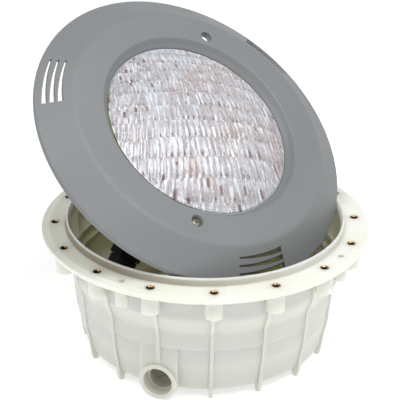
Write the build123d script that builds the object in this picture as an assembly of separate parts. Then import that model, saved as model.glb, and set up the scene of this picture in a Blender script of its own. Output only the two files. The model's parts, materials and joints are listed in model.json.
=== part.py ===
from build123d import *
import os
from math import asin, cos, radians, sin, sqrt

# Underwater pool light: a round plastic niche that is cast into the pool wall, and a lamp unit that drops
# into it. The unit leans in the niche's mouth, as it does when it is being fitted or serviced.
# Millimetres. Origin: centre of the niche flange's top face. +Z points out of the niche, into the pool.
# An azimuth is measured from -Y towards +X. In the lamp's own frame X runs down the lean, Z is its axis.

# ---- niche: driving dimensions
flange_r = 137.5
flange_t = 4.5
land_r = 131.0            # the flat land that the liner gasket sits on
land_drop = 0.8
rim_r_in = 114.2
rim_r_out = 116.8
rim_h = 6.8
rim_bevel_w = 1.5         # the mouth is opened out so that the leaning plate clears it
rim_bevel_h = 3.2
insert_count = 16
insert_circle_r = 126.3
insert_first_az = 3.0
insert_step = 360 / insert_count
insert_r = 3.6
insert_len = 12.0
thread_m5_r = 2.1
boss_r = 7.2
boss_bottom = -21.0
pin_hole_r_top = 2.4      # tapered holes for the locating pegs, between the inserts
pin_hole_r_low = 1.9
pin_hole_az = [-30.75, 59.25, 149.25, 239.25]
pin_boss_r = 5.4
base_z = -106.0
floor_z = -103.0
foot_z = -110.0
rib_w = 3.0
pillar_r = 5.5
pillar_top = -14.0
pillar_az = [-19.5, 160.5]
fixing_circle_r = 97.0    # the two screws that hold the lamp unit
inner_rib_az = [-106.0, -16.0, 74.0, 164.0]

# ---- conduit socket, in line with one of the ribs
socket_az = -19.5
socket_z = -94.0
socket_r_out = 16.0
socket_bore_r = 12.25
socket_stop_r = 10.0
socket_mouth = 112.5
socket_stop = 104.0
pad_face = 110.8
pad_face_top = 109.0
pad_bend = -80.0
pad_top = -62.5

# ---- how the lamp unit leans in the niche
lean_tilt = 38.7
lean_heading = 44.8
lean_centre = (-11.0, 12.3, 71.2)

# ---- face plate, in the lamp's frame
plate_r = 139.6
plate_lip = 3.8
plate_lip_round = 1.1
plate_wall = 2.4
opening_r = 81.8
screw_angles = [140.2, -39.8]
plate_hole_r = 3.4
recess_r_top = 5.3        # each screw sits low in a tapered recess
recess_r_floor = 4.5
recess_floor = 14.2
recess_depth = 3.6
hole_boss_r = 7.4
hole_boss_low = 12.4
hole_boss_t = 3.4
screw_head_r = 4.0
screw_head_t = 1.7
vent_radii = [121.8, 127.3, 132.8]
vent_w_narrow = 1.1       # every slot widens from one end to the other
vent_w_wide = 3.9
vent_span = 20.2
vent_angles = [-130.4, -10.2, 109.8]
plate_rib_angles = [-158, -108, -84.8, -62, -39.8, 18, 50.2, 76, 150, 176]
tongue_angles = [50.2, 95.2, -84.8, -129.8]

# ---- lamp, gasket, clamp ring and housing, in the lamp's frame
dome_r = 80.6
dome_top = 26.4
dome_edge = 10.7
glass_t = 3.6
lamp_rim_r = 88.6
lamp_rim_top = 6.0
lamp_rim_split = 3.5
lamp_rim_low = 1.5
seal_r = 90.2
clamp_r = 94.0
clamp_top = 9.4
clamp_low = 2.8
lug_circle_r = 95.5
lug_r = 6.0
lug_count = 8
lug_first = 27.7
lug_top = 6.8
clamp_screw_r = 1.95
housing_back = -98.0
housing_wall = 2.8
neck_r = 20.0
base_r = 25.0
base_low = -78.0
terminal_x = 10.0

# ---- cable gland on the housing's shoulder
gland_angle = -52.0
gland_tilt = 39.8
gland_start_r = 69.5
gland_start_h = -86.0
gland_len = 24.0
cable_r = 5.0

# ---- the cable's slack lies coiled on the niche floor
coil_r_in = 45.0
coil_r_out = 75.0
coil_h = 19.5

os.makedirs("parts", exist_ok=True)
LOW = (Align.CENTER, Align.CENTER, Align.MIN)
HIGH = (Align.CENTER, Align.CENTER, Align.MAX)


# ---------------------------------------------------------------- helpers
def turned(points):
    """A solid of revolution about Z from (radius, height, corner radius) points."""
    path = [(r, z) for r, z, _ in points]
    radii = [c for _, _, c in points]
    outline = FilletPolyline(*path, radius=radii, close=True)
    return revolve(Plane.XZ * make_face(outline), Axis.Z)


def tube(r_out, r_in, low, high):
    ring = Pos(0, 0, low) * Cylinder(r_out, high - low, align=LOW)
    return ring - Pos(0, 0, low - 1) * Cylinder(r_in, high - low + 2, align=LOW)


def around(r, azimuth, z=0.0):
    """A place in the niche, given by radius and azimuth; X points outward there."""
    return Rot(0, 0, azimuth - 90) * Pos(r, 0, z)


def lamp_around(r, angle, z=0.0):
    return Rot(0, 0, angle) * Pos(r, 0, z)


def hexagon(across_flats, low, high):
    return Pos(0, 0, low) * extrude(RegularPolygon(across_flats / sqrt(3), 6), high - low)


def cross_recess(top, depth, span, width):
    slot = Pos(0, 0, top) * Box(span, width, 2 * depth)
    return slot + Rot(0, 0, 90) * slot


def bent_tube(points, radii, r):
    path = FilletPolyline(*points, radius=radii)
    start = path.edges().sort_by_distance(Vector(*points[0]))[0]
    section = Plane(origin=points[0], z_dir=Vector(*points[1]) - Vector(*points[0])) * Circle(r)
    return sweep(section, path=path)


def step(a, direction, length):
    return tuple(p + length * d for p, d in zip(a, direction))


def write(node, shape):
    solids = list(shape.solids()) if hasattr(shape, "solids") else list(shape)
    group = solids[0] if len(solids) == 1 else Compound(children=solids)
    export_step(group, f"parts/{node}.step")


# ---------------------------------------------------------------- niche
def niche_outside():
    return turned([
        (0, base_z, 0), (97, base_z, 0), (103.6, -101, 5), (106.6, -86, 12), (108.8, -76, 14),
        (109.4, pad_top, 0.4), (110.4, pad_top + 1, 0.4), (111.0, -46, 16), (116, -33, 16),
        (116.4, -flange_t, 2), (flange_r, -flange_t, 0.6), (flange_r, -land_drop, 0.5),
        (land_r + 3, -land_drop, 0.5), (land_r, 0, 0.5), (rim_r_out, 0, 1.0), (rim_r_out, rim_h, 1.6),
        (rim_r_in - 3, rim_h, 0), (0, rim_h, 0)])


def niche_inside():
    return turned([
        (0, floor_z, 0), (95, floor_z, 7), (101.2, -92, 10), (105.2, -70, 0.5), (106.9, -70, 0.5),
        (107.4, -40, 0.5), (110.6, -40, 0.5), (110.9, -31, 0.5), (rim_r_in, -31, 0.5),
        (rim_r_in, rim_h - rim_bevel_h, 0), (rim_r_in + rim_bevel_w, rim_h, 0),
        (rim_r_in + rim_bevel_w, rim_h + 9, 0), (0, rim_h + 9, 0)])


def boss(azimuth, r):
    post = around(insert_circle_r, azimuth, boss_bottom) * Cylinder(r, -boss_bottom - 1.5, align=LOW)
    web = around(118, azimuth, -11.5) * Box(16, 4, 15)
    return post + web


def wall_rib(azimuth):
    outline = Polyline((112, -4), (120, -4), (120.4, boss_bottom), (117.6, -34), (112.6, -46),
                       (111.4, -62), (110.0, -77), (107.4, -90), (105.4, -105), (104.0, foot_z),
                       (100.5, foot_z), (99, -104), (100, -90), (104, -62), close=True)
    return around(0, azimuth) * extrude(Plane.XZ * make_face(outline), rib_w / 2, both=True)


def conduit_socket():
    barrel = around(84, socket_az, socket_z) * Rot(0, 90, 0) * Cylinder(
        socket_r_out, socket_mouth - 84, align=LOW)
    side = Polyline((90, socket_z), (pad_face, socket_z), (pad_face, pad_bend), (pad_face_top, pad_top + 1.5),
                    (90, pad_top + 1.5), close=True)
    pad = around(0, socket_az) * extrude(Plane.XZ * make_face(side), socket_r_out, both=True)
    return barrel + pad


def conduit_bore():
    mouth = around(socket_stop, socket_az, socket_z) * Rot(0, 90, 0) * Cylinder(
        socket_bore_r, 20, align=LOW)
    through = around(90, socket_az, socket_z) * Rot(0, 90, 0) * Cylinder(socket_stop_r, 30, align=LOW)
    return mouth + through


def pillar(azimuth):
    height = pillar_top - floor_z + 1
    post = around(fixing_circle_r, azimuth, floor_z - 1) * Cylinder(pillar_r, height, align=LOW)
    web = around(fixing_circle_r + 7, azimuth, floor_z - 1) * Box(
        14, 4, height - 8, align=(Align.CENTER, Align.CENTER, Align.MIN))
    return post + web


def insert_azimuths():
    return [insert_first_az + k * insert_step for k in range(insert_count)]


def niche_shell():
    shell = niche_outside()
    for azimuth in insert_azimuths():
        shell += boss(azimuth, boss_r)
        shell += wall_rib(azimuth)
    for azimuth in pin_hole_az:
        shell += boss(azimuth, pin_boss_r)
    shell += conduit_socket()
    shell -= niche_inside()
    for azimuth in pillar_az:
        shell += pillar(azimuth)
        shell -= around(fixing_circle_r, azimuth, pillar_top) * Cylinder(insert_r, insert_len + 2, align=HIGH)
    for azimuth in inner_rib_az:
        shell += around(rim_r_in, azimuth, -29) * Box(1.4, 1.4, 30, align=LOW)
    shell -= conduit_bore()
    for azimuth in insert_azimuths():
        shell -= around(insert_circle_r, azimuth) * Cylinder(insert_r, insert_len + 3, align=HIGH)
        shell -= around(insert_circle_r, azimuth, 1) * Cylinder(insert_r, 1.5, align=HIGH)
    for azimuth in pin_hole_az:
        shell -= around(insert_circle_r, azimuth) * Cone(pin_hole_r_low, pin_hole_r_top, 14, align=HIGH)
    return shell


def threaded_insert():
    """A knurled brass bush with an M5 hole; its top is at height 0."""
    return turned([
        (thread_m5_r, -insert_len, 0), (insert_r - 0.4, -insert_len, 0), (insert_r, -insert_len + 1, 0),
        (insert_r, -7, 0), (insert_r - 0.5, -6.6, 0), (insert_r - 0.5, -5.4, 0), (insert_r, -5, 0),
        (insert_r, 0, 0), (thread_m5_r, 0, 0)])


def flange_inserts():
    return Compound(children=[around(insert_circle_r, a) * threaded_insert() for a in insert_azimuths()])


def lamp_fixing_inserts():
    return Compound(children=[
        around(fixing_circle_r, a, pillar_top) * threaded_insert() for a in pillar_az])


# ---------------------------------------------------------------- the lamp's own frame
tilt = radians(lean_tilt)
heading = radians(lean_heading)
lamp_axis = (sin(tilt) * sin(heading), -sin(tilt) * cos(heading), cos(tilt))
lamp_down = (cos(tilt) * sin(heading), -cos(tilt) * cos(heading), -sin(tilt))
lamp_frame = Plane(origin=lean_centre, x_dir=lamp_down, z_dir=lamp_axis)


def lean(shape):
    """Move a piece from the lamp's own frame to where the unit leans in the niche."""
    return lamp_frame.location * shape


def lug_angles():
    return [lug_first + k * 360 / lug_count for k in range(lug_count)]


# ---------------------------------------------------------------- face plate
def plate_blank():
    inner_r = plate_r - plate_wall
    return turned([
        (opening_r, 7.9, 0.4), (opening_r, 10.5, 0.4), (84.8, 13.6, 1.5), (87.7, 18.0, 1.5),
        (113.5, 16.6, 9), (plate_r, 0.3, 2.4), (plate_r, -plate_lip, plate_lip_round),
        (inner_r, -plate_lip, 0.6), (inner_r, -1.4, 1.0), (112.6, 14.0, 6),
        (89.5, 15.3, 1.5), (86.2, 11.2, 1.0)])


def vent_edge(r, side):
    """One long edge of a slot: side is 1 for the outer edge and -1 for the inner one."""
    middle_w = (vent_w_narrow + vent_w_wide) / 2
    half = vent_span / 2
    points = []
    for turn, width in ((-half, vent_w_narrow), (0, middle_w), (half, vent_w_wide)):
        reach = r + side * width / 2
        points.append((reach * cos(radians(turn)), reach * sin(radians(turn))))
    return points


def vent_slots(angle):
    slots = []
    for r in vent_radii:
        outer = vent_edge(r, 1)
        inner = vent_edge(r, -1)
        outline = ThreePointArc(*outer) + ThreePointArc(*inner)
        outline += Line(outer[0], inner[0]) + Line(outer[2], inner[2])
        slots.append(Rot(0, 0, angle) * Pos(0, 0, -8) * extrude(make_face(outline), 33))
    return slots


def plate_rib(angle):
    outline = Polyline((104, 13), (104, 9.2), (137.6, -3.6), (137.6, 0.2), close=True)
    return Rot(0, 0, angle) * extrude(Plane.XZ * make_face(outline), 0.9, both=True)


def plate_tongue(angle):
    ring = tube(96.8, 94.4, 3.0, 15.6)
    return ring & (lamp_around(96, angle, 9) * Box(12, 14, 16))


def face_plate():
    plate = plate_blank()
    for angle in plate_rib_angles:
        plate += plate_rib(angle)
    for angle in tongue_angles:
        plate += plate_tongue(angle)
    for angle in vent_angles:
        for slot in vent_slots(angle):
            plate -= slot
    for angle in screw_angles:
        plate += lamp_around(fixing_circle_r, angle, hole_boss_low) * Cylinder(
            hole_boss_r, hole_boss_t, align=LOW)
        plate -= lamp_around(fixing_circle_r, angle, 10) * Cylinder(plate_hole_r, 14, align=LOW)
        plate -= lamp_around(fixing_circle_r, angle, recess_floor) * Cone(
            recess_r_floor, recess_r_top, recess_depth, align=LOW)
    return plate


def fixing_screw():
    """The captive screw: a domed cross head in its recess, a plain shank, a thread below."""
    head_low = recess_floor + 0.1
    screw = turned([
        (0, head_low, 0), (screw_head_r, head_low, 0), (screw_head_r, head_low + 0.7, 0.4),
        (2.4, head_low + screw_head_t, 0.7), (0, head_low + screw_head_t, 0)])
    screw += Cylinder(1.9, head_low + 11.5, align=LOW).moved(Location((0, 0, -11.5)))
    screw += Cylinder(2.4, 10, align=LOW).moved(Location((0, 0, -20.5)))
    screw -= cross_recess(head_low + screw_head_t, 1.2, 4.6, 1.0)
    return lamp_around(fixing_circle_r, screw_angles[1]) * screw


def screw_retainer():
    """The soft washer that keeps the screw in the plate."""
    washer = tube(4.6, 1.95, hole_boss_low - 1.5, hole_boss_low - 0.1)
    return lamp_around(fixing_circle_r, screw_angles[1]) * washer


# ---------------------------------------------------------------- sealed-beam lamp
def dome_radius(edge_r, rise):
    return (edge_r ** 2 + rise ** 2) / (2 * rise)


def domed_cap(edge_r, edge_h, top_h, low_h):
    """A spherical crown on a short cylinder, closed at low_h."""
    big_r = dome_radius(edge_r, top_h - edge_h)
    half = asin(edge_r / big_r) / 2
    middle = (big_r * sin(half), top_h - big_r * (1 - cos(half)))
    crown = ThreePointArc((0, top_h), middle, (edge_r, edge_h))
    sides = Polyline((edge_r, edge_h), (edge_r, low_h), (0, low_h), (0, top_h))
    return revolve(Plane.XZ * make_face(crown + sides), Axis.Z)


def lamp_lens():
    outer = domed_cap(dome_r, dome_edge, dome_top, lamp_rim_split)
    hollow = domed_cap(dome_r - glass_t, dome_edge - glass_t, dome_top - glass_t, lamp_rim_split - 1)
    rim = tube(lamp_rim_r, dome_r - 1, lamp_rim_split, lamp_rim_top)
    return outer - hollow + rim


def bowl(shrink):
    """The reflector's bowl, full; shrink moves the wall inward."""
    curve = ThreePointArc((84 - shrink, 1.5), (64 - shrink, -34 + shrink), (neck_r - shrink, -58 + shrink))
    close = Polyline((neck_r - shrink, -58 + shrink), (0, -58 + shrink), (0, 1.5), (84 - shrink, 1.5))
    return revolve(Plane.XZ * make_face(curve + close), Axis.Z)


def lamp_reflector():
    shell = bowl(0) + Pos(0, 0, lamp_rim_low) * Cylinder(lamp_rim_r, lamp_rim_split - lamp_rim_low, align=LOW)
    shell += Pos(0, 0, -66) * Cylinder(neck_r, 10, align=LOW)
    shell -= bowl(2.2)
    shell -= Pos(0, 0, 1.4) * Cylinder(81.8, 5, align=LOW)
    return shell


def filament_posts():
    posts = [Pos(x, 0, -57) * Cylinder(0.9, 24, align=LOW) for x in (-7, 7)]
    return Compound(children=posts)


def lamp_filament():
    coil = Pos(0, 0, -33.4) * Rot(0, 90, 0) * (Cylinder(1.6, 20) - Cylinder(0.7, 21))
    return coil


def lamp_base():
    cap = turned([
        (0, -66, 0), (neck_r + 0.1, -66, 0), (neck_r + 0.1, -61, 0), (base_r, -61, 1.2),
        (base_r, base_low, 2.5), (0, base_low, 0)])
    for x in (-terminal_x, terminal_x):
        cap -= Pos(x, 0, base_low - 1) * Cylinder(2.0, 9, align=LOW)
    return cap


def terminal_screws():
    screws = []
    for x in (-terminal_x, terminal_x):
        shank = Pos(0, 0, base_low - 2) * Cylinder(1.95, 8, align=LOW)
        head = Pos(0, 0, base_low - 4.6) * Cylinder(4.0, 2.6, align=LOW)
        slot = Pos(0, 0, base_low - 4.6) * Box(9, 0.9, 2)
        screws.append(Pos(x, 0, 0) * (shank + head - slot))
    return Compound(children=screws)


def ring_terminals():
    rings = []
    for x in (-terminal_x, terminal_x):
        eye = tube(4.4, 2.05, base_low - 1.6, base_low - 0.4)
        barrel = Pos(0, -8.5, base_low - 2.2) * Rot(90, 0, 0) * Cylinder(2.1, 7)
        tongue = Pos(0, -4.7, base_low - 1.0) * Box(3.4, 2.6, 1.2)
        rings.append(Pos(x, 0, 0) * (eye + tongue + barrel))
    return Compound(children=rings)


# ---------------------------------------------------------------- gasket, clamp ring, housing
def lens_gasket():
    return turned([
        (84.8, 0.2, 0), (seal_r, 0.2, 0), (seal_r, 7.6, 0), (81.6, 7.6, 0), (81.5, 9.8, 0),
        (80.8, 9.8, 0), (80.8, lamp_rim_top + 0.1, 0), (lamp_rim_r + 0.1, lamp_rim_top + 0.1, 0),
        (lamp_rim_r + 0.1, lamp_rim_low - 0.1, 0), (84.8, lamp_rim_low - 0.1, 0)])


def clamp_ring():
    ring = turned([
        (seal_r + 0.1, clamp_low, 0), (clamp_r, clamp_low, 0.4), (clamp_r, clamp_top, 1.0),
        (84.6, clamp_top, 0.4), (84.6, 7.7, 0), (seal_r + 0.1, 7.7, 0)])
    for angle in lug_angles():
        ring += lamp_around(lug_circle_r, angle, clamp_low) * Cylinder(lug_r, lug_top - clamp_low, align=LOW)
    ring -= Pos(0, 0, clamp_low - 1) * Cylinder(seal_r + 0.1, 7.7 - clamp_low + 1, align=LOW)
    for angle in lug_angles():
        ring -= lamp_around(lug_circle_r, angle, clamp_low - 1) * Cylinder(2.2, 9, align=LOW)
        ring -= lamp_around(lug_circle_r, angle, lug_top) * Cylinder(4.2, 5, align=LOW)
    return ring


def clamp_screws():
    screw = turned([(0, lug_top, 0), (3.8, lug_top, 0), (3.8, lug_top + 1.2, 0.6), (2, lug_top + 2.3, 0.6),
                    (0, lug_top + 2.3, 0)])
    screw += Pos(0, 0, -6) * Cylinder(clamp_screw_r, lug_top + 6.5, align=LOW)
    screw -= cross_recess(lug_top + 2.3, 1.4, 4.2, 0.9)
    return Compound(children=[lamp_around(lug_circle_r, a) * screw for a in lug_angles()])


def clamp_inserts():
    bush = tube(2.9, 2.0, -6.5, clamp_low - 0.1)
    return Compound(children=[lamp_around(lug_circle_r, a) * bush for a in lug_angles()])


gland_tip = radians(gland_tilt)
gland_turn = radians(gland_angle)
gland_dir = (cos(gland_tip) * cos(gland_turn), cos(gland_tip) * sin(gland_turn), -sin(gland_tip))
gland_start = (gland_start_r * cos(gland_turn), gland_start_r * sin(gland_turn), gland_start_h)
gland_frame = Plane(origin=gland_start, z_dir=gland_dir)


def on_gland(shape):
    return gland_frame.location * shape


def housing_bowl(wall):
    """The housing's outside, or its inside when wall is its thickness."""
    back = housing_back + wall
    return turned([
        (0, back, 0), (60 - wall * 0.5, back, 8), (77 - wall, -76 + wall * 0.6, 10), (89.8 - wall, -40, 30),
        (93.2 - wall, -1, 0), (0, -1, 0)])


def rear_housing():
    shell = housing_bowl(0)
    shell += Pos(0, 0, -3) * Cylinder(clamp_r, clamp_low + 3, align=LOW)
    for angle in lug_angles():
        shell += lamp_around(lug_circle_r, angle, -8) * Cylinder(lug_r, clamp_low + 8, align=LOW)
    shell += on_gland(Cylinder(15.5, 10, align=LOW).moved(Location((0, 0, -8))))
    shell -= housing_bowl(housing_wall)
    shell += on_gland(Cylinder(14, 5, align=LOW).moved(Location((0, 0, -5))))
    shell -= Pos(0, 0, -1.1) * Cylinder(85.2, 10, align=LOW)
    shell -= Pos(0, 0, 0.1) * Cylinder(seal_r + 0.1, 10, align=LOW)
    shell -= on_gland(Cylinder(10.0, 24))
    for angle in lug_angles():
        shell -= lamp_around(lug_circle_r, angle, -6.5) * Cylinder(2.9, 12, align=LOW)
    return shell


def gland_locknut():
    nut = hexagon(26, -9, -5) - Cylinder(10.0, 40)
    return on_gland(nut)


def gland_body():
    body = Pos(0, 0, -10) * Cylinder(9.9, 12, align=LOW)
    body += hexagon(24, 2, 8)
    body += Pos(0, 0, 8) * Cylinder(9.4, 5.5, align=LOW)
    body -= Pos(0, 0, -11) * Cylinder(6.0, 26, align=LOW)
    return on_gland(body)


def gland_seal():
    return on_gland(tube(9.2, cable_r + 0.05, 13.6, 17.4))


def gland_nut():
    dome = turned([
        (cable_r + 0.4, 17.6, 0), (9.4, 17.6, 0), (9.6, 8.6, 0), (12.0, 8.6, 0.5), (12.0, 17, 2),
        (8.2, gland_len, 1.5), (cable_r + 0.4, gland_len, 0.5)])
    return on_gland(dome)


# ---------------------------------------------------------------- cable
def world(point):
    return tuple(lean(Pos(*point) * Vertex(0, 0, 0)).center())


def cable_route():
    """From inside the gland, down past the housing and round into the coil on the floor."""
    start = world(step(gland_start, gland_dir, -12))
    mouth = world(step(gland_start, gland_dir, gland_len + 6))
    return [start, mouth, (-81.0, -29.0, -61.0), (-80.0, -45.0, -79.0), (-65.0, -61.0, -92.0),
            (-41.0, -69.0, -97.6), (-15.0, -68.4, -98.0)]


def corner_radii(points):
    radii = []
    for before, corner, after in zip(points, points[1:], points[2:]):
        arriving = Vector(*corner) - Vector(*before)
        leaving = Vector(*after) - Vector(*corner)
        turn = radians(arriving.get_angle(leaving))
        shorter = min(arriving.length, leaving.length)
        radii.append(0.45 * shorter / (sin(turn / 2) / cos(turn / 2)))
    return radii


def lamp_cable():
    route = cable_route()
    radii = corner_radii(route)
    print("cable radii", [round(r, 1) for r in radii])
    return bent_tube(route, radii, cable_r)


def cable_coil():
    return turned([
        (coil_r_in, floor_z + 0.05, 6), (coil_r_out, floor_z + 0.05, 6),
        (coil_r_out, floor_z + coil_h, 7), (coil_r_in, floor_z + coil_h, 7)])


def cable_cores():
    """The two insulated cores, from the gland to the lamp's terminals."""
    cores = []
    first = step(gland_start, gland_dir, -13)
    second = step(gland_start, gland_dir, -24)
    for x, side in ((-terminal_x, -2.4), (terminal_x, 2.4)):
        points = [
            (first[0] + side, first[1] + side, first[2]),
            (second[0] + side, second[1] + side, second[2]),
            (x, -24, base_low - 5),
            (x, -12.6, base_low - 2.2)]
        cores.append(bent_tube(points, [8, 6], 1.5))
    return Compound(children=cores)


# ---------------------------------------------------------------- write every node
niche_nodes = {
    "niche_shell": niche_shell,
    "flange_inserts": flange_inserts,
    "lamp_fixing_inserts": lamp_fixing_inserts,
}
leaning_nodes = {
    "face_plate": face_plate,
    "fixing_screw": fixing_screw,
    "screw_retainer": screw_retainer,
    "lamp_lens": lamp_lens,
    "lamp_reflector": lamp_reflector,
    "lamp_filament": lamp_filament,
    "filament_posts": filament_posts,
    "lamp_base": lamp_base,
    "terminal_screws": terminal_screws,
    "ring_terminals": ring_terminals,
    "cable_cores": cable_cores,
    "lens_gasket": lens_gasket,
    "clamp_ring": clamp_ring,
    "clamp_screws": clamp_screws,
    "clamp_inserts": clamp_inserts,
    "rear_housing": rear_housing,
    "gland_body": gland_body,
    "gland_locknut": gland_locknut,
    "gland_seal": gland_seal,
    "gland_nut": gland_nut,
}
cable_nodes = {
    "lamp_cable": lamp_cable,
    "cable_coil": cable_coil,
}
for node, make in niche_nodes.items():
    write(node, make())
for node, make in leaning_nodes.items():
    write(node, lean(make()))
for node, make in cable_nodes.items():
    write(node, make())
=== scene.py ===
# %% [markdown]
# # An underwater pool light, leaning in its wall niche
# The real object is a moulded plastic niche that is cast into a pool wall, and a lamp unit that drops into it:
# a grey face plate, a sealed-beam lamp with a pressed glass lens, and a black housing with its cable.
# The shapes that fit and move are loaded as a fixed frame. This lesson gives them their surfaces, and it builds
# in mesh code the pieces that need finer form: the prismatic lens, the brass inserts, the filament, the cable.

import json
import math
import random

import bpy
from mathutils import Matrix, Vector, geometry


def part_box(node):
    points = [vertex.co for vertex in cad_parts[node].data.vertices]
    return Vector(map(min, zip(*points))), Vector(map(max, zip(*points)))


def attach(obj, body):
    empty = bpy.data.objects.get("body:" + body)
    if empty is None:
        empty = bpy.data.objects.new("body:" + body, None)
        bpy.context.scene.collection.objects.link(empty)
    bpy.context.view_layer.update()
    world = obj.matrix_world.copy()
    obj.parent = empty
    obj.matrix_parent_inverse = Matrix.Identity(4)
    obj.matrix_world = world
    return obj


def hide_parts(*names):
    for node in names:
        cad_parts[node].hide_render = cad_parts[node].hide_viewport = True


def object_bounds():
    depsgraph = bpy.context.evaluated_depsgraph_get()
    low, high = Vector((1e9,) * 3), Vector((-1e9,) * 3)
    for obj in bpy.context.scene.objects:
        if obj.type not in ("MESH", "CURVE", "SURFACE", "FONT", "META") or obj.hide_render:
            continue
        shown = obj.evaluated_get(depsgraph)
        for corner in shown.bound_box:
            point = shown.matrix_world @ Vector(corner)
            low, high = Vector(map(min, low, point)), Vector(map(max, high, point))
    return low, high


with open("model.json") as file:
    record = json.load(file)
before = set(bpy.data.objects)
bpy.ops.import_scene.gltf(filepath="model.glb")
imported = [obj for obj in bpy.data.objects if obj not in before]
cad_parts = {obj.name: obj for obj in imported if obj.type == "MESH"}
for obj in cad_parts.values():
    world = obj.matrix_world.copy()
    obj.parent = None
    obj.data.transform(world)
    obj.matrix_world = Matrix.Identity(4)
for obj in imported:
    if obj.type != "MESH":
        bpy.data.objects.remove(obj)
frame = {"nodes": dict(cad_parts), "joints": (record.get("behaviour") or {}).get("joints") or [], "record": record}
cad_low, cad_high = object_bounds()
MM = 0.001
scene = bpy.context.scene
scene.view_settings.view_transform = "Standard"
print("frame loaded:", len(frame["nodes"]), "nodes, size", [round(x, 3) for x in cad_high - cad_low])

# %% [markdown]
# ## Where the lamp unit leans
# The lamp unit has its own axis, tipped away from the niche's. The frame already knows it: the face plate comes
# off along that axis, and the eight brass bushes of the clamp ring stand evenly round it. Reading both gives a
# small coordinate system, so a piece of the lamp can be made upright and then set down in its real place.

# %% The lamp's own axes
BUSH_MIDDLE_H = -1.9 * MM
slide = next(j for j in frame["joints"] if j["name"] == "trim_pull_off")
lamp_axis = Vector(slide["axis"]).normalized()
bush_points = [v.co for v in frame["nodes"]["clamp_inserts"].data.vertices]
bush_centre = sum(bush_points, Vector()) / len(bush_points)
lamp_centre = bush_centre - lamp_axis * BUSH_MIDDLE_H
lamp_down = (lamp_axis * lamp_axis.z - Vector((0, 0, 1))).normalized()
lamp_side = lamp_axis.cross(lamp_down)
lamp_turn = Matrix((lamp_down, lamp_side, lamp_axis)).transposed().to_4x4()
lamp_place = Matrix.Translation(lamp_centre) @ lamp_turn
print("lamp centre in mm", [round(x / MM, 2) for x in lamp_centre])

# %% [markdown]
# ## The camera
# A long lens a little over a metre away, looking down at about 25 degrees, keeps the flange's ellipse gentle.
# The camera is made first because everything after it is judged through it. A camera looks along its own -Z, so
# the direction to the target gives its rotation, and a last small roll levels the picture as it should be.

# %% Camera
CAMERA_AT = Vector((-4.6, -1021.8, 502.0)) * MM
CAMERA_TARGET = Vector((-4.6, 0.0, 17.9)) * MM
CAMERA_ROLL = math.radians(0.46)
camera_data = bpy.data.cameras.new("camera")
camera_data.lens = 121.4
camera_data.sensor_width = 36.0
camera_data.clip_start = 0.05
camera_data.clip_end = 20.0
camera = bpy.data.objects.new("camera", camera_data)
scene.collection.objects.link(camera)
camera.location = CAMERA_AT
aim = (CAMERA_TARGET - CAMERA_AT).to_track_quat("-Z", "Y")
camera.rotation_euler = (aim.to_matrix() @ Matrix.Rotation(CAMERA_ROLL, 3, "Z")).to_euler()
scene.camera = camera
print("camera distance in mm", round((CAMERA_TARGET - CAMERA_AT).length / MM, 1))

# %% [markdown]
# ## The lamp's cable
# About 1.7 metres of ten-millimetre rubber cable leave the gland behind the lamp, drop past the housing and lie
# in a coil on the niche floor: the slack that lets the lamp be lifted out onto the pool's edge. A cable is one
# smooth line, so it is a single NURBS curve with a round bevel one unit deep, made thin by each point's radius.
# The first points are the listed route, and a loop adds the coil's turns, two on the floor and two on top.

# %% Cable route and coil
CABLE_R = 5.0 * MM
ROUTE = [(-60.55, -5.73, -12.03), (-79.51, -22.72, -45.43), (-81.0, -29.0, -61.0), (-80.0, -45.0, -79.0),
         (-65.0, -61.0, -92.0), (-41.0, -69.0, -97.6), (-15.0, -68.4, -98.0)]
COIL_OUTER, COIL_INNER = 69.6, 50.2
COIL_LOW, COIL_HIGH = -97.8, -88.4
POINTS_PER_TURN = 16
random.seed(56)


def coil_points():
    """Two turns inward on the floor, a step up, and two turns outward on top."""
    start = math.atan2(ROUTE[-1][1], ROUTE[-1][0]) + math.radians(14)
    points = []
    for i in range(4 * POINTS_PER_TURN + 4):
        turn = i / POINTS_PER_TURN
        if turn <= 2.0:
            share, height = turn / 2.0, COIL_LOW
        elif turn <= 2.25:
            share, height = 1.0, COIL_LOW + (COIL_HIGH - COIL_LOW) * (turn - 2.0) / 0.25
        else:
            share, height = 1.0 - (turn - 2.25) / 2.0, COIL_HIGH
        radius = COIL_OUTER + (COIL_INNER - COIL_OUTER) * share + random.uniform(-0.25, 0.25)
        angle = start + turn * math.tau
        points.append((radius * math.cos(angle), radius * math.sin(angle), height))
    return points


def nurbs_line(name, points, radius):
    """A smooth round line through the room of its points, in millimetres."""
    curve = bpy.data.curves.new(name, "CURVE")
    curve.dimensions = "3D"
    curve.bevel_depth = 1.0
    curve.bevel_resolution = 7
    curve.use_fill_caps = True
    spline = curve.splines.new("NURBS")
    spline.points.add(len(points) - 1)
    for slot, point in zip(spline.points, points):
        slot.co = (*(Vector(point) * MM), 1.0)
        slot.radius = radius
    spline.order_u = 3
    spline.use_endpoint_u = True
    spline.resolution_u = 8
    line = bpy.data.objects.new(name, curve)
    scene.collection.objects.link(line)
    return line


coil = coil_points()
cable = nurbs_line("lamp_cable_run", ROUTE + coil, CABLE_R)
print("cable points", len(ROUTE) + len(coil))

# %% [markdown]
# The free end is bare, as such a lamp is supplied: the sheath stops and two insulated cores stand out of it,
# with a few millimetres of copper showing. Each core is a short round line like the cable itself.

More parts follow.
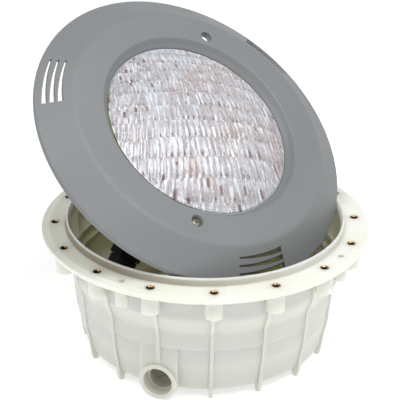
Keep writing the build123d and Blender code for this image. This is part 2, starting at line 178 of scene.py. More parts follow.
# %% Bare cable end
CORE_APART, CORE_BURIED, CORE_BEND_AT, CORE_REST, COPPER_BARE = 2.1, 2, 9, 8, 6
end_at, end_before = Vector(coil[-1]), Vector(coil[-2])
end_way = (end_at - end_before).normalized()
end_out = Vector((end_at.x, end_at.y, 0)).normalized()
cores = []
for k, lean_out in enumerate((-1.0, 1.0)):
    root = end_at + end_out * (CORE_APART * lean_out) - end_way * CORE_BURIED
    middle = root + end_way * CORE_BEND_AT + end_out * (0.6 * lean_out)
    tip = middle + end_way * CORE_REST + end_out * (1.2 * lean_out)
    cores.append(nurbs_line(f"cable_core_{k}", [root, middle, tip], 1.9 * MM))
    copper_tip = tip + end_way * COPPER_BARE + end_out * (0.8 * lean_out)
    cores.append(nurbs_line(f"cable_copper_{k}", [tip - end_way, (tip + copper_tip) / 2, copper_tip], 1.1 * MM))
print("cable end pieces", len(cores))

# %% [markdown]
# ## Making materials
# Every finish here is procedural: noise in millimetre-true object coordinates, sent to colour, roughness and
# bump. One small class keeps the node wiring short, so that each material below reads as a recipe. What is the
# same all over a surface is set straight on the shader.

# %% A helper for materials


class Finish:
    """A material with a Principled shader and short ways to add noise, ramps and bump."""

    def __init__(self, name, **constants):
        self.material = bpy.data.materials.new(name)
        self.material.use_nodes = True
        self.tree = self.material.node_tree
        self.shader = self.tree.nodes["Principled BSDF"]
        self.coordinates = self.add("ShaderNodeTexCoord").outputs["Object"]
        for key, value in constants.items():
            self.shader.inputs[key.replace("_", " ")].default_value = value

    def add(self, kind, **settings):
        node = self.tree.nodes.new(kind)
        for key, value in settings.items():
            setattr(node, key, value)
        return node

    def join(self, output, socket):
        self.tree.links.new(output, socket)

    def noise(self, scale, detail=2.0, roughness=0.5, stretch=None, source=None):
        texture = self.add("ShaderNodeTexNoise")
        texture.inputs["Scale"].default_value = scale
        texture.inputs["Detail"].default_value = detail
        texture.inputs["Roughness"].default_value = roughness
        vector = source or self.coordinates
        if stretch:
            mapping = self.add("ShaderNodeMapping")
            mapping.inputs["Scale"].default_value = stretch
            self.join(vector, mapping.inputs["Vector"])
            vector = mapping.outputs["Vector"]
        self.join(vector, texture.inputs["Vector"])
        return texture.outputs["Fac"]

    def ramp(self, value, stops):
        """stops is a list of (place, colour); a plain number means a grey."""
        node = self.add("ShaderNodeValToRGB")
        elements = node.color_ramp.elements
        while len(elements) < len(stops):
            elements.new(0.5)
        for element, (place, colour) in zip(elements, stops):
            element.position = place
            shade = (colour,) * 3 if isinstance(colour, (int, float)) else colour
            element.color = (*shade, 1.0)
        self.join(value, node.inputs["Fac"])
        return node.outputs["Color"]

    def mix(self, amount, first, second):
        """Blend two colours; each is an output or a fixed colour."""
        node = self.add("ShaderNodeMix", data_type="RGBA")
        sockets = [s for s in node.inputs if s.enabled]
        for socket, value in zip(sockets, (amount, first, second)):
            if isinstance(value, bpy.types.NodeSocket):
                self.join(value, socket)
            else:
                socket.default_value = value if isinstance(value, float) else (*value, 1.0)
        return next(s for s in node.outputs if s.enabled)

    def sum(self, operation, *values):
        """One step of arithmetic on outputs and plain numbers."""
        node = self.add("ShaderNodeMath", operation=operation)
        for socket, value in zip(node.inputs, values):
            if isinstance(value, bpy.types.NodeSocket):
                self.join(value, socket)
            else:
                socket.default_value = value
        return node.outputs[0]

    def point(self, *values):
        """A vector from up to three outputs."""
        node = self.add("ShaderNodeCombineXYZ")
        for socket, value in zip(node.inputs, values):
            self.join(value, socket)
        return node.outputs[0]

    def parts(self, vector):
        node = self.add("ShaderNodeSeparateXYZ")
        self.join(vector, node.inputs[0])
        return node.outputs

    def bump(self, height, strength, distance, under=None):
        node = self.add("ShaderNodeBump")
        node.inputs["Strength"].default_value = strength
        node.inputs["Distance"].default_value = distance
        self.join(height, node.inputs["Height"])
        if under is not None:
            self.join(under, node.inputs["Normal"])
        return node.outputs["Normal"]

    def drive(self, **outputs):
        for key, output in outputs.items():
            self.join(output, self.shader.inputs[key.replace("_", " ")])
        return self.material


# %% [markdown]
# ## Moulded niche plastic
# The niche is cream-white ABS straight from a polished mould: a satin shine, a faint unevenness of colour where
# the melt flowed, and a slow ripple that bends reflections. Old white plastic is never a pure white, so two
# close tones are mixed by a broad noise, and the finest noise only breaks up the highlight. A little light goes
# into the plastic and comes out elsewhere, which softens the shade inside the niche. Three tints of painted shade
# go on top: the outside wall greys with depth, a brown band lies in the crease at the foot of the rim, heavier on
# the left, and the inside walls are darkened towards olive.

# %% Niche plastic
RIM_OUTSIDE, RIM_HEIGHT = 116.8 * MM, 6.8 * MM
TINT_STEP, GREY_DEPTH, FILM_SPAN = 10 * MM, 125 * MM, 200 * MM
DEEP_SHADE_GREY, RIM_SHADE_BROWN, INSIDE_SHADE_OLIVE = (0.55, 0.55, 0.505), (0.27, 0.22, 0.155), (0.42, 0.41, 0.30)


def niche_plastic():
    f = Finish("niche_abs", Specular_IOR_Level=0.4, Subsurface_Weight=0.55, Subsurface_Scale=0.013)
    f.shader.inputs["Subsurface Radius"].default_value = (1.0, 0.95, 0.75)
    flow = f.noise(14.0, 3.0, 0.55)
    grain = f.noise(900.0, 2.0)
    colour = f.ramp(flow, [(0.30, (0.702, 0.706, 0.618)), (0.62, (0.752, 0.758, 0.705))])
    x, y, z = f.parts(f.coordinates)
    nx, ny, nz = f.parts(f.add("ShaderNodeNewGeometry").outputs["Normal"])
    outward = f.sum("GREATER_THAN", f.sum("MULTIPLY_ADD", nx, x, f.sum("MULTIPLY", ny, y)), -0.03)
    # Painted shade: the outside wall is mixed towards grey deeper down, where less light falls.
    depth = f.ramp(f.sum("MULTIPLY", z, -1 / GREY_DEPTH), [(0.05, 0.0), (0.85, 1.0)])
    colour = f.mix(f.sum("MULTIPLY", depth, outward), colour, DEEP_SHADE_GREY)
    # Painted shade: a brown band in the crease at the foot of the rim.
    radius = f.sum("SQRT", f.sum("MULTIPLY_ADD", x, x, f.sum("MULTIPLY", y, y)))
    out = f.sum("MULTIPLY", f.sum("SUBTRACT", radius, RIM_OUTSIDE), 1 / TINT_STEP)
    beside = f.ramp(out, [(0.03, 1.0), (0.22, 0.0)])
    rim_share = RIM_HEIGHT / TINT_STEP
    foot = f.ramp(f.sum("MULTIPLY", z, 1 / TINT_STEP), [(rim_share * 0.66, 1.0), (rim_share * 0.84, 0.0)])
    outer = f.sum("GREATER_THAN", radius, RIM_OUTSIDE - 0.6 * MM)
    above = f.sum("GREATER_THAN", z, -0.6 * MM)
    crease = f.sum("MULTIPLY", f.sum("MULTIPLY", beside, foot), f.sum("MULTIPLY", outer, above))
    # This painted shade grows heavier towards the left side, away from the key light.
    left_shade_weight = f.ramp(f.sum("MULTIPLY_ADD", x, -1 / FILM_SPAN, 0.5), [(0.20, 0.25), (0.90, 0.85)])
    colour = f.mix(f.sum("MULTIPLY", crease, left_shade_weight), colour, RIM_SHADE_BROWN)
    # Painted shade: the steep inside walls of the niche are mixed towards a dark olive.
    steep = f.sum("LESS_THAN", nz, 0.5)
    within = f.sum("MULTIPLY", f.sum("SUBTRACT", 1.0, outward), f.sum("LESS_THAN", z, -2.0 * MM))
    colour = f.mix(f.sum("MULTIPLY", f.sum("MULTIPLY", within, steep), 0.4), colour, INSIDE_SHADE_OLIVE)
    rough = f.ramp(f.noise(40.0, 4.0, 0.6), [(0.3, 0.30), (0.7, 0.43)])
    ripple = f.bump(f.noise(34.0, 2.0), 0.10, 0.0006)
    skin = f.bump(grain, 0.10, 0.00008, ripple)
    return f.drive(Base_Color=colour, Roughness=rough, Normal=skin)


# %% [markdown]
# ## Grey trim plastic
# The face plate is mid-grey ABS with the fine spark-eroded grain that hides scratches: bumps about a third of a
# millimetre across, and a duller surface than the niche. Handling polishes such grain here and there, so a
# broad noise lowers the roughness a little in patches.

# %% Trim plastic
def trim_plastic():
    f = Finish("trim_abs", Specular_IOR_Level=0.4)
    colour = f.ramp(f.noise(9.0, 3.0, 0.6), [(0.30, (0.180, 0.193, 0.199)), (0.70, (0.201, 0.206, 0.210))])
    rough = f.ramp(f.noise(22.0, 4.0, 0.6), [(0.3, 0.42), (0.7, 0.56)])
    wave = f.bump(f.noise(30.0, 1.0), 0.06, 0.0006)
    grain = f.bump(f.noise(2600.0, 2.0, 0.6), 0.22, 0.00010, wave)
    return f.drive(Base_Color=colour, Roughness=rough, Normal=grain)


# %% [markdown]
# ## Metals
# Turned brass shows fine tool rings and a brown film that gathers unevenly. Stainless screws are cooler and
# cleaner. The lamp's reflector is a mirror of evaporated aluminium on glass, nearly perfect. Wire and terminals
# are drawn metal, a little darker. One recipe serves all of them with different tones, and a mesh may carry a
# stored value that mixes in painted shade, nearly black, in its deep places such as the threads of a hole.

# %% Metals
def metal(name, light, dark, smooth, dull, ring_scale):
    f = Finish(name, Metallic=1.0)
    colour = f.ramp(f.noise(240.0, 4.0, 0.6), [(0.35, dark), (0.65, light)])
    # Painted shade: a stored value darkens the metal to nearly black in deep places.
    hole_shade = f.add("ShaderNodeAttribute", attribute_name="hole_shade")
    colour = f.mix(hole_shade.outputs["Fac"], colour, (0.035, 0.020, 0.010))
    rough = f.ramp(f.noise(420.0, 3.0, 0.6), [(0.3, smooth), (0.7, dull)])
    rings = f.bump(f.noise(ring_scale, 2.0, 0.5, (1.0, 1.0, 9.0)), 0.25, 0.00006)
    return f.drive(Base_Color=colour, Roughness=rough, Normal=rings)


def insert_brass():
    return metal("insert_brass", (0.70, 0.50, 0.24), (0.34, 0.20, 0.08), 0.20, 0.40, 700.0)


def screw_steel():
    return metal("screw_steel", (0.52, 0.49, 0.41), (0.32, 0.29, 0.23), 0.24, 0.40, 900.0)


def reflector_silver():
    return metal("reflector_silver", (0.93, 0.93, 0.94), (0.86, 0.86, 0.88), 0.06, 0.12, 60.0)


def drawn_wire():
    return metal("tungsten", (0.46, 0.45, 0.44), (0.30, 0.29, 0.28), 0.30, 0.45, 1200.0)


def terminal_brass():
    return metal("terminal_brass", (0.80, 0.62, 0.34), (0.55, 0.38, 0.16), 0.25, 0.40, 800.0)


# %% [markdown]
# ## Rubber, black plastic, ceramic
# The dark pieces differ mostly in how they catch light. Cable rubber is matt with a chalky bloom, the housing is
# a smooth black moulding with a soft gloss, the clamp ring and gland are glass-filled and duller, the gasket is
# a clear silicone, olive on one side with a painted pale-blue highlight on the other, and the lamp's cap is a
# pale, pitted ceramic cement.

# %% Dark finishes and ceramic


def moulded(name, low, high, smooth, dull, grain_scale, grain_depth, **constants):
    f = Finish(name, **constants)
    colour = f.ramp(f.noise(45.0, 4.0, 0.6), [(0.3, low), (0.7, high)])
    rough = f.ramp(f.noise(80.0, 3.0, 0.6), [(0.3, smooth), (0.7, dull)])
    grain = f.bump(f.noise(grain_scale, 3.0, 0.6), 0.35, grain_depth)
    return f.drive(Base_Color=colour, Roughness=rough, Normal=grain)


def cable_rubber():
    return moulded("cable_rubber", 0.006, 0.013, 0.50, 0.68, 1500.0, 0.00008)


def housing_black():
    return moulded("housing_black", 0.004, 0.008, 0.26, 0.38, 1100.0, 0.00003, Specular_IOR_Level=0.30)


def clamp_black():
    return moulded("clamp_black", 0.004, 0.009, 0.42, 0.58, 1900.0, 0.00008, Specular_IOR_Level=0.25)


SEAL_HIGHLIGHT_SIDE = (7.1, 7.0)


def seal_rubber():
    """Clear silicone: olive against the lamp's rim, and a painted pale-blue highlight on the other side."""
    f = Finish("seal_rubber", Specular_IOR_Level=0.6)
    x, y, _ = f.parts(f.coordinates)
    # Painted highlight: one side of the seal turns pale blue, the other stays olive.
    towards = f.sum("ADD", f.sum("MULTIPLY", x, SEAL_HIGHLIGHT_SIDE[0]), f.sum("MULTIPLY", y, SEAL_HIGHLIGHT_SIDE[1]))
    place = f.sum("MULTIPLY_ADD", f.noise(60.0), 0.10, f.sum("ADD", towards, 0.70))
    colour = f.ramp(place, [(0.12, (0.20, 0.23, 0.02)), (0.28, (0.50, 0.58, 0.62))])
    rough = f.ramp(f.noise(80.0, 3.0, 0.6), [(0.3, 0.30), (0.7, 0.45)])
    skin = f.bump(f.noise(1300.0, 3.0, 0.6), 0.35, 0.00005)
    return f.drive(Base_Color=colour, Roughness=rough, Normal=skin)


def base_ceramic():
    return moulded("base_ceramic", (0.42, 0.40, 0.35), (0.60, 0.58, 0.52), 0.70, 0.90, 700.0, 0.00020)


def core_sleeve():
    return moulded("core_insulation", (0.10, 0.045, 0.020), (0.16, 0.075, 0.035), 0.35, 0.50, 1000.0, 0.00004)


# %% [markdown]
# ## Dressing the frame's pieces
# Each moulded or turned piece of the frame keeps its exact shape and takes its finish here, by the material slot
# that its record gives it. A dictionary of recipes makes one material per slot, and a loop hands them out.

# %% Finishes by slot
recipes = {
    "niche_abs": niche_plastic, "trim_abs": trim_plastic, "insert_brass": insert_brass,
    "screw_steel": screw_steel, "reflector_silver": reflector_silver, "tungsten": drawn_wire,
    "base_ceramic": base_ceramic, "terminal_brass": terminal_brass, "core_insulation": core_sleeve,
    "cable_rubber": cable_rubber, "seal_rubber": seal_rubber, "clamp_black": clamp_black,
    "housing_black": housing_black,
}
finishes = {slot: make() for slot, make in recipes.items()}
slot_of = {part["node"]: part["material_slot"] for part in frame["record"]["subparts"]}


def dress(piece, slot):
    piece.data.materials.clear()
    piece.data.materials.append(finishes[slot])


for node, piece in frame["nodes"].items():
    if slot_of[node] in finishes:
        dress(piece, slot_of[node])
print("finishes made:", len(finishes))

# %% [markdown]
# ## The prismatic lens
# The glass of a sealed-beam flood lamp is pressed into rows of little upright cylinders that spread the beam:
# each row is a shallow pillow, the rows grow wider towards the lower edge, and the cylinders in them, about
# five millimetres wide, fan out a little. Texture alone would not break up the reflections in the right way, so
# the prisms are real, and no two are pressed to quite the same height. A grid of points lined up with the flutes
# is triangulated and lifted onto the dome plus the prisms.

# %% Rows and flutes of the lens
DOME_R, DOME_EDGE, DOME_TOP = 80.6, 10.7, 26.4
DOME_BALL = (DOME_R ** 2 + (DOME_TOP - DOME_EDGE) ** 2) / (2 * (DOME_TOP - DOME_EDGE))
GLASS_T = 3.4
ROW_ANGLE = math.radians(69.0)
FIRST_ROW, ROW_GROWTH = 9.0, 0.075
FLUTE_PITCH, FLUTE_DEPTH, PILLOW_DEPTH = 4.8, 0.85, 0.36
ROW_STEP, FLUTE_FAN = 0.37, 0.0029
HASH_FLUTE, HASH_ROW, HASH_SCALE = 12.9898, 78.233, 43758.5453


def lens_ways(x, y):
    """A lens point as its place along the fanned flutes and its distance down across the rows."""
    along = x * math.cos(ROW_ANGLE) + y * math.sin(ROW_ANGLE)
    across = x * math.sin(ROW_ANGLE) - y * math.cos(ROW_ANGLE)
    return along * (1 - FLUTE_FAN * across), across


def row_count(across):
    """Which row a point is in, counted with its fraction from the lens's upper edge."""
    return math.log(1 + ROW_GROWTH * (across + DOME_R + 0.5) / FIRST_ROW) / ROW_GROWTH


def dome(r):
    return DOME_TOP - DOME_BALL + math.sqrt(DOME_BALL ** 2 - r * r)


def prism_height(x, y):
    """How far the pressed pattern stands out at a point of the lens."""
    along, across = lens_ways(x, y)
    rows = row_count(across)
    row = math.floor(rows)
    flutes = along / FLUTE_PITCH + row * ROW_STEP
    in_flute = flutes % 1.0
    cell = math.sin(HASH_FLUTE * math.floor(flutes) + HASH_ROW * row) * HASH_SCALE % 1.0
    flute = (1.0 - (2 * in_flute - 1) ** 2) * (0.6 + 0.6 * cell)
    pillow = 1.0 - (2 * (rows - row) - 1) ** 2
    fade = min(1.0, max(0.0, (DOME_R - 0.8 - math.hypot(x, y)) / 2.0))
    return fade * (FLUTE_DEPTH * (flute - 1.2) + PILLOW_DEPTH * (pillow - 1.0))


print("rows on the lens", round(row_count(DOME_R), 1), "flutes in the middle row", round(2 * DOME_R / FLUTE_PITCH))

# %% Lens mesh


def lens_mesh(step_along=0.8, step_across=1.35, edge_count=320):
    """A closed glass disc: prisms above, a smooth inner dome below."""
    flat = []
    reach = int(DOME_R / step_along) + 2
    for i in range(-reach, reach + 1):
        for j in range(-reach, reach + 1):
            along, across = i * step_along, (j + 0.5) * step_across
            x = along * math.cos(ROW_ANGLE) + across * math.sin(ROW_ANGLE)
            y = along * math.sin(ROW_ANGLE) - across * math.cos(ROW_ANGLE)
            if math.hypot(x, y) < DOME_R - 0.5:
                flat.append(Vector((x, y)))
    inner = len(flat)
    for k in range(edge_count):
        a = math.tau * k / edge_count
        flat.append(Vector((DOME_R * math.cos(a), DOME_R * math.sin(a))))
    ring = [(inner + k, inner + (k + 1) % edge_count) for k in range(edge_count)]
    points, _, faces, *_ = geometry.delaunay_2d_cdt(flat, ring, [], 1, 1e-5)
    top = [(p.x, p.y, dome(p.length) + prism_height(p.x, p.y)) for p in points]
    low = [(p.x, p.y, dome(p.length) - GLASS_T) for p in points]
    count = len(points)
    all_faces = [tuple(f) for f in faces] + [tuple(count + v for v in reversed(f)) for f in faces]
    uses = {}
    for f in faces:
        for a, b in zip(f, f[1:] + f[:1]):
            uses[(a, b)] = uses.get((a, b), 0) + 1
    border = [edge for edge in uses if (edge[1], edge[0]) not in uses]
    all_faces += [(b, a, a + count, b + count) for a, b in border]
    return top + low, all_faces


def new_piece(name, points, faces, body, slot, place=None):
    """A mesh piece from millimetre points, set down at place and riding on a body."""
    mesh = bpy.data.meshes.new(name)
    mesh.from_pydata([Vector(p) * MM for p in points], [], faces)
    if place is not None:
        mesh.transform(place)
    mesh.validate()
    mesh.update()
    mesh.shade_smooth()
    piece = bpy.data.objects.new(name, mesh)
    scene.collection.objects.link(piece)
    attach(piece, body)
    return piece


lens_points, lens_faces = lens_mesh()
lens = new_piece("prismatic_lens", lens_points, lens_faces, "lamp_unit", "lens_glass", lamp_place)
lens.data.set_sharp_from_angle(angle=math.radians(38))
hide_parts("lamp_lens")
print("lens points", len(lens_points), "faces", len(lens_faces))

# %% [markdown]
# The glass is clear, but what the eye sees in it is the silvered bowl behind, broken by every prism into bright
# lavender-white streaks, and into small brown specks where a prism happens to look at something dark. The finish
# paints these reflections into the glass's colour. The map below gives each point of the lens its place along the
# rows and its row number, so the finish can draw painted shade on the lower edge of every row, a dot in many
# flutes, and streaks that follow them.

# %% Map of the flutes
MAP_WIDTH, MAP_ROWS = 200.0, 16
flute_map = lens.data.uv_layers.new(name="flutes")
back_to_lamp = lamp_place.inverted()
map_points = []
for v in lens.data.vertices:
    p = back_to_lamp @ v.co / MM
    along, across = lens_ways(p.x, p.y)
    map_points.append((along / MAP_WIDTH + 0.5, row_count(max(across, -DOME_R)) / MAP_ROWS))
for loop in lens.data.loops:
    flute_map.data[loop.index].uv = map_points[loop.vertex_index]
print("lens faces mapped", len(lens.data.polygons))

# %% [markdown]
# The finish reads like counting: the map's whole numbers say which row and which flute a point is in, and the
# fractions say where it is inside them. White noise on the whole numbers picks the cells that show a speck, more
# of them towards the lower and left edges.

# %% Cells of the lens finish
def lens_cells(f):
    """The lens map as row numbers, flute numbers and the places inside them."""
    u, v, _ = f.parts(f.add("ShaderNodeTexCoord").outputs["UV"])
    rows = f.sum("MULTIPLY", v, MAP_ROWS)
    row = f.sum("FLOOR", rows)
    down = f.sum("FRACT", rows)
    flutes = f.sum("MULTIPLY_ADD", u, MAP_WIDTH / FLUTE_PITCH, f.sum("MULTIPLY", row, ROW_STEP))
    side = f.sum("ABSOLUTE", f.sum("SUBTRACT", f.sum("FRACT", flutes), 0.5))
    return u, v, row, down, flutes, side, f.point(flutes, rows, row)


# %% [markdown]
# The broken reflection is painted, from four noises stretched along the flutes. The first two make the streaks,
# the third the larger white and brown shards, and the last a fine glitter. Two broad noises in between warm and
# cool the whole, and the lower edge of each row gets painted shade.

# %% Streaks and flecks
ROW_FOOT_SHADE, WARM_TINT, COOL_TINT = (0.30, 0.27, 0.27), (0.44, 0.33, 0.29), (0.62, 0.72, 0.80)


def lens_streaks(f, u, down, cell_point):
    streak = f.noise(2.3, 3.0, 0.62, (1.0, 0.42, 1.0), cell_point)
    fine = f.noise(5.5, 3.0, 0.65, (1.0, 0.55, 1.0), cell_point)
    streak = f.sum("MULTIPLY_ADD", fine, 0.42, f.sum("MULTIPLY", streak, 0.58))
    base = f.ramp(streak, [(0.34, (0.22, 0.19, 0.20)), (0.44, (0.42, 0.405, 0.43)),
                           (0.53, (0.52, 0.525, 0.575)), (0.66, (0.74, 0.78, 0.85))])
    warm = f.ramp(f.sum("MULTIPLY_ADD", u, 0.35, f.noise(30.0, 3.0, 0.6)), [(0.62, 0.0), (0.84, 0.65)])
    base = f.mix(warm, base, WARM_TINT)
    cool = f.ramp(f.noise(18.0, 1.0), [(0.52, 0.0), (0.68, 0.45)])
    base = f.mix(cool, base, COOL_TINT)
    # Painted shade: the lower edge of every row is darker.
    edge = f.sum("MULTIPLY_ADD", fine, 0.60, f.sum("SUBTRACT", down, 0.30))
    base = f.mix(f.ramp(edge, [(0.55, 0.0), (0.93, 0.42), (1.0, 0.25)]), base, ROW_FOOT_SHADE)
    shard = f.noise(2.7, 1.5, 0.6, (1.0, 0.40, 1.0), cell_point)
    base = f.mix(f.ramp(shard, [(0.57, 0.0), (0.64, 0.70)]), base, (0.92, 0.95, 0.98))
    base = f.mix(f.ramp(shard, [(0.34, 0.60), (0.42, 0.0)]), base, (0.30, 0.235, 0.225))
    glitter = f.noise(9.0, 2.0, 0.7, (1.0, 0.9, 1.0), cell_point)
    base = f.mix(f.ramp(glitter, [(0.56, 0.0), (0.66, 0.75)]), base, (0.90, 0.93, 0.97))
    return f.mix(f.ramp(glitter, [(0.33, 0.55), (0.43, 0.0)]), base, (0.27, 0.21, 0.20)), streak


# %% Lens glass
# Painted reflection: the dark dots and brown specks are prisms that reflect something dark.
DOT_TONE, SPECK_TONE = (0.13, 0.09, 0.085), (0.17, 0.095, 0.085)


def lens_glass():
    f = Finish("lens_glass", IOR=1.5, Transmission_Weight=0.15, Coat_Weight=0.3, Coat_Roughness=0.08)
    u, v, row, down, flutes, side, cell_point = lens_cells(f)
    base, streak = lens_streaks(f, u, down, cell_point)
    chance = f.add("ShaderNodeTexWhiteNoise", noise_dimensions="3D")
    f.join(f.point(f.sum("FLOOR", flutes), row), chance.inputs["Vector"])
    pick, pick_two, pick_three = f.parts(chance.outputs["Color"])
    off_dot = f.sum("ABSOLUTE", f.sum("SUBTRACT", down, 0.86))
    reach = f.sum("MULTIPLY_ADD", off_dot, 5.0, f.sum("MULTIPLY", side, 2.6))
    dot = f.sum("MULTIPLY", f.ramp(reach, [(0.30, 1.0), (0.75, 0.0)]), f.ramp(pick, [(0.45, 0.0), (0.70, 0.75)]))
    base = f.mix(dot, base, DOT_TONE)
    low = f.sum("MAXIMUM", f.sum("SUBTRACT", v, 0.52), 0.0)
    left = f.sum("MAXIMUM", f.sum("SUBTRACT", 0.30, u), 0.0)
    odds = f.sum("ADD", f.sum("MULTIPLY_ADD", low, 1.9, 0.035), f.sum("MULTIPLY", left, 1.3))
    chosen = f.sum("LESS_THAN", pick_two, odds)
    patch = f.sum("MULTIPLY", f.ramp(side, [(0.16, 1.0), (0.34, 0.0)]),
                  f.ramp(f.sum("ABSOLUTE", f.sum("SUBTRACT", down, pick_three)), [(0.14, 1.0), (0.26, 0.0)]))
    speck = f.sum("MULTIPLY", f.sum("MULTIPLY", patch, chosen), 0.85)
    colour = f.mix(speck, base, SPECK_TONE)
    rough = f.ramp(streak, [(0.3, 0.30), (0.7, 0.12)])
    return f.drive(Base_Color=colour, Roughness=rough)


finishes["lens_glass"] = lens_glass()
dress(lens, "lens_glass")
print("lens finish nodes", len(finishes["lens_glass"].node_tree.nodes))

# %% [markdown]
# ## Brass inserts
# Each screw of the flange goes into a brass bush that was moulded into the plastic. From above one sees a thin
# bright ring, a countersink and the first turns of thread in the dark. A profile turned about an axis is all
# that takes: the thread is drawn as close rings, which look the same as a helix at this size.

# %% Turned pieces
def turned(profile, segments=48):
    """Points and faces of a closed profile of (radius, height) turned about Z."""
    points, faces = [], []
    count = len(profile)
    for k in range(segments):
        a = math.tau * k / segments
        points += [(r * math.cos(a), r * math.sin(a), z) for r, z in profile]
    for k in range(segments):
        here, after = k * count, (k + 1) % segments * count
        for i in range(count):
            j = (i + 1) % count
            faces.append((here + i, after + i, after + j, here + j))
    return points, faces


INSERT_R, THREAD_R, INSERT_LENGTH = 3.55, 2.1, 11.9
THREAD_PITCH, THREAD_DEPTH, RIM_SUNK = 0.8, 0.38, 0.1


def insert_profile():
    """Half a bush in section: its outside, its countersunk mouth, then one notch per turn of thread."""
    profile = [(THREAD_R + 0.1, -INSERT_LENGTH), (INSERT_R, -INSERT_LENGTH), (INSERT_R, -RIM_SUNK),
               (THREAD_R + 0.95, -RIM_SUNK), (THREAD_R + 0.80, -0.2), (THREAD_R + THREAD_DEPTH, -0.65)]
    z = -0.8
    while z > -INSERT_LENGTH + 0.5:
        profile += [(THREAD_R, z - 0.1), (THREAD_R, z - 0.2), (THREAD_R + THREAD_DEPTH, z - 0.45),
                    (THREAD_R + THREAD_DEPTH, z - 0.55)]
        z -= THREAD_PITCH
    return profile


def copies(points, faces, places):
    """The same shape at several places, as one set of points and faces."""
    all_points, all_faces = [], []
    for place in places:
        base = len(all_points)
        all_points += [tuple(place @ Vector(p)) for p in points]
        all_faces += [tuple(base + v for v in f) for f in faces]
    return all_points, all_faces


SHADE_FROM, SHADE_FULL = 0.15, 0.75


def darken_threads(piece, top):
    """Store painted shade on the points that lie below the mouth of each bush."""
    hole_shade = piece.data.attributes.new("hole_shade", "FLOAT", "POINT")
    for v in piece.data.vertices:
        depth = top - v.co.z / MM
        hole_shade.data[v.index].value = min(1.0, max(0.0, (depth - SHADE_FROM) / (SHADE_FULL - SHADE_FROM)))


FLANGE_CIRCLE_R, FLANGE_FIRST, FLANGE_COUNT = 126.3, 3.0, 16
flange_places = []
for k in range(FLANGE_COUNT):
    a = math.radians(FLANGE_FIRST + 360 / FLANGE_COUNT * k)
    flange_places.append(Matrix.Translation((FLANGE_CIRCLE_R * math.sin(a), -FLANGE_CIRCLE_R * math.cos(a), 0)))
insert_shape = turned(insert_profile())
inserts = new_piece("brass_flange_inserts", *copies(*insert_shape, flange_places), "niche", "insert_brass")
inserts.data.set_sharp_from_angle(angle=math.radians(35))
darken_threads(inserts, 0.0)
dress(inserts, "insert_brass")
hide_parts("flange_inserts")
print("inserts", FLANGE_COUNT, "points", len(inserts.data.vertices))

# %% [markdown]
# The two bushes deep in the niche, which the lamp unit's screws go into, are the same part at the top of two
# pillars. The frame's box for them gives the height, so only the circle and the angle are said again here.

# %% Brass inserts of the pillars
PILLAR_CIRCLE_R, PILLAR_FIRST = 97.0, -19.5
pillar_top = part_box("lamp_fixing_inserts")[1].z / MM + 0.1
pillar_places = []
for k in range(2):
    a = math.radians(PILLAR_FIRST + 180 * k)
    at = (PILLAR_CIRCLE_R * math.sin(a), -PILLAR_CIRCLE_R * math.cos(a), pillar_top)
    pillar_places.append(Matrix.Translation(at))
fixing = new_piece("brass_pillar_inserts", *copies(*insert_shape, pillar_places), "niche", "insert_brass")
fixing.data.set_sharp_from_angle(angle=math.radians(35))
darken_threads(fixing, pillar_top)
dress(fixing, "insert_brass")
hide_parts("lamp_fixing_inserts")
print("pillar tops at mm", round(pillar_top, 1))

# %% [markdown]
# ## Filament
# Behind the prisms a coiled tungsten filament hangs between its two wires. It is a helix: a loop of points on a
# small circle that moves sideways a little each step, given a round bevel.

# %% Filament helix
FILAMENT_H, FILAMENT_R, FILAMENT_HALF, FILAMENT_TURNS = -33.4, 1.3, 9.6, 15
WIRE_R, STEPS_PER_TURN = 0.28, 10
helix = []
for i in range(FILAMENT_TURNS * STEPS_PER_TURN + 1):
    a = math.tau * i / STEPS_PER_TURN
    x = -FILAMENT_HALF + 2 * FILAMENT_HALF * i / (FILAMENT_TURNS * STEPS_PER_TURN)
    helix.append((x, FILAMENT_R * math.cos(a), FILAMENT_H + FILAMENT_R * math.sin(a)))
filament = nurbs_line("coiled_filament", helix, WIRE_R * MM)
filament.data.transform(lamp_place)
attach(filament, "lamp_unit")
dress(filament, "tungsten")
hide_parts("lamp_filament")
print("filament turns", FILAMENT_TURNS)

# %% [markdown]
# ## The cable's body and finish
# The cable and its cores ride with the lamp unit, because that is what they hang from.

# %% Cable finish and body
for k, piece in enumerate([cable, *cores]):
    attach(piece, "lamp_unit")
    slot = "cable_rubber" if k == 0 else "core_insulation" if k % 2 else "terminal_brass"
    dress(piece, slot)
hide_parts("lamp_cable", "cable_coil")

# %% [markdown]
# ## Floor, world and light
# The niche stands on a plain, nearly white floor that glows a little, as a lit table does. The world is
# bright round the horizon and dim overhead, like the walls of a light tent. One large area light high on the
# right makes the flange the brightest face, and a smaller one on the left looks under the leaning plate.

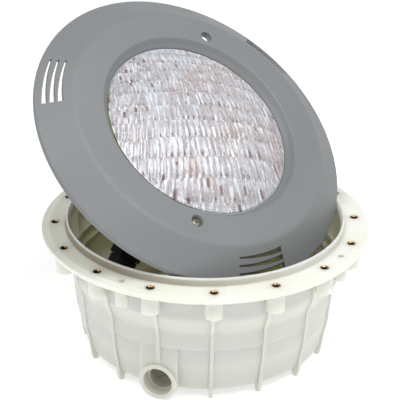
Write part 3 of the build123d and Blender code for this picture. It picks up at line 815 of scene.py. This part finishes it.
# %% Floor
FLOOR_Z, FLOOR_HALF = cad_low.z, 6
floor_corners = [(-1, -1), (1, -1), (1, 1), (-1, 1)]
floor_mesh = bpy.data.meshes.new("floor")
floor_mesh.from_pydata([(x * FLOOR_HALF, y * FLOOR_HALF, FLOOR_Z) for x, y in floor_corners], [], [(0, 1, 2, 3)])
floor = bpy.data.objects.new("floor", floor_mesh)
scene.collection.objects.link(floor)
floor_finish = Finish("floor_white", Specular_IOR_Level=0.1, Roughness=0.9, Emission_Strength=0.45)
floor_finish.shader.inputs["Emission Color"].default_value = (1.0, 1.0, 1.0, 1.0)
floor.data.materials.append(floor_finish.drive(
    Base_Color=floor_finish.ramp(floor_finish.noise(3.0), [(0.3, 0.76), (0.7, 0.78)])))
print("floor at mm", round(FLOOR_Z / MM, 1))

# %% World and lights
HORIZON, OVERHEAD = (0.97, 0.97, 0.96, 1.0), (0.30, 0.30, 0.31, 1.0)
world = bpy.data.worlds.new("studio")
scene.world = world
world.use_nodes = True
sky = world.node_tree
background = sky.nodes["Background"]
way = sky.nodes.new("ShaderNodeTexCoord")
split = sky.nodes.new("ShaderNodeSeparateXYZ")
fade = sky.nodes.new("ShaderNodeValToRGB")
fade.color_ramp.elements[0].color = HORIZON
fade.color_ramp.elements[1].position = 0.80
fade.color_ramp.elements[1].color = OVERHEAD
sky.links.new(way.outputs["Generated"], split.inputs[0])
sky.links.new(split.outputs["Z"], fade.inputs["Fac"])
sky.links.new(fade.outputs["Color"], background.inputs["Color"])


def area_light(name, at, target, size, power):
    data = bpy.data.lights.new(name, "AREA")
    data.shape = "SQUARE"
    data.size = size
    data.energy = power
    light = bpy.data.objects.new(name, data)
    scene.collection.objects.link(light)
    light.location = at
    light.rotation_euler = (Vector(target) - Vector(at)).to_track_quat("-Z", "Y").to_euler()


area_light("key", (0.55, -0.50, 1.55), (0, 0, 0), 0.9, 20.0)
area_light("left_fill", (-0.65, -0.40, 1.20), (0, 0, 0), 0.5, 6.0)
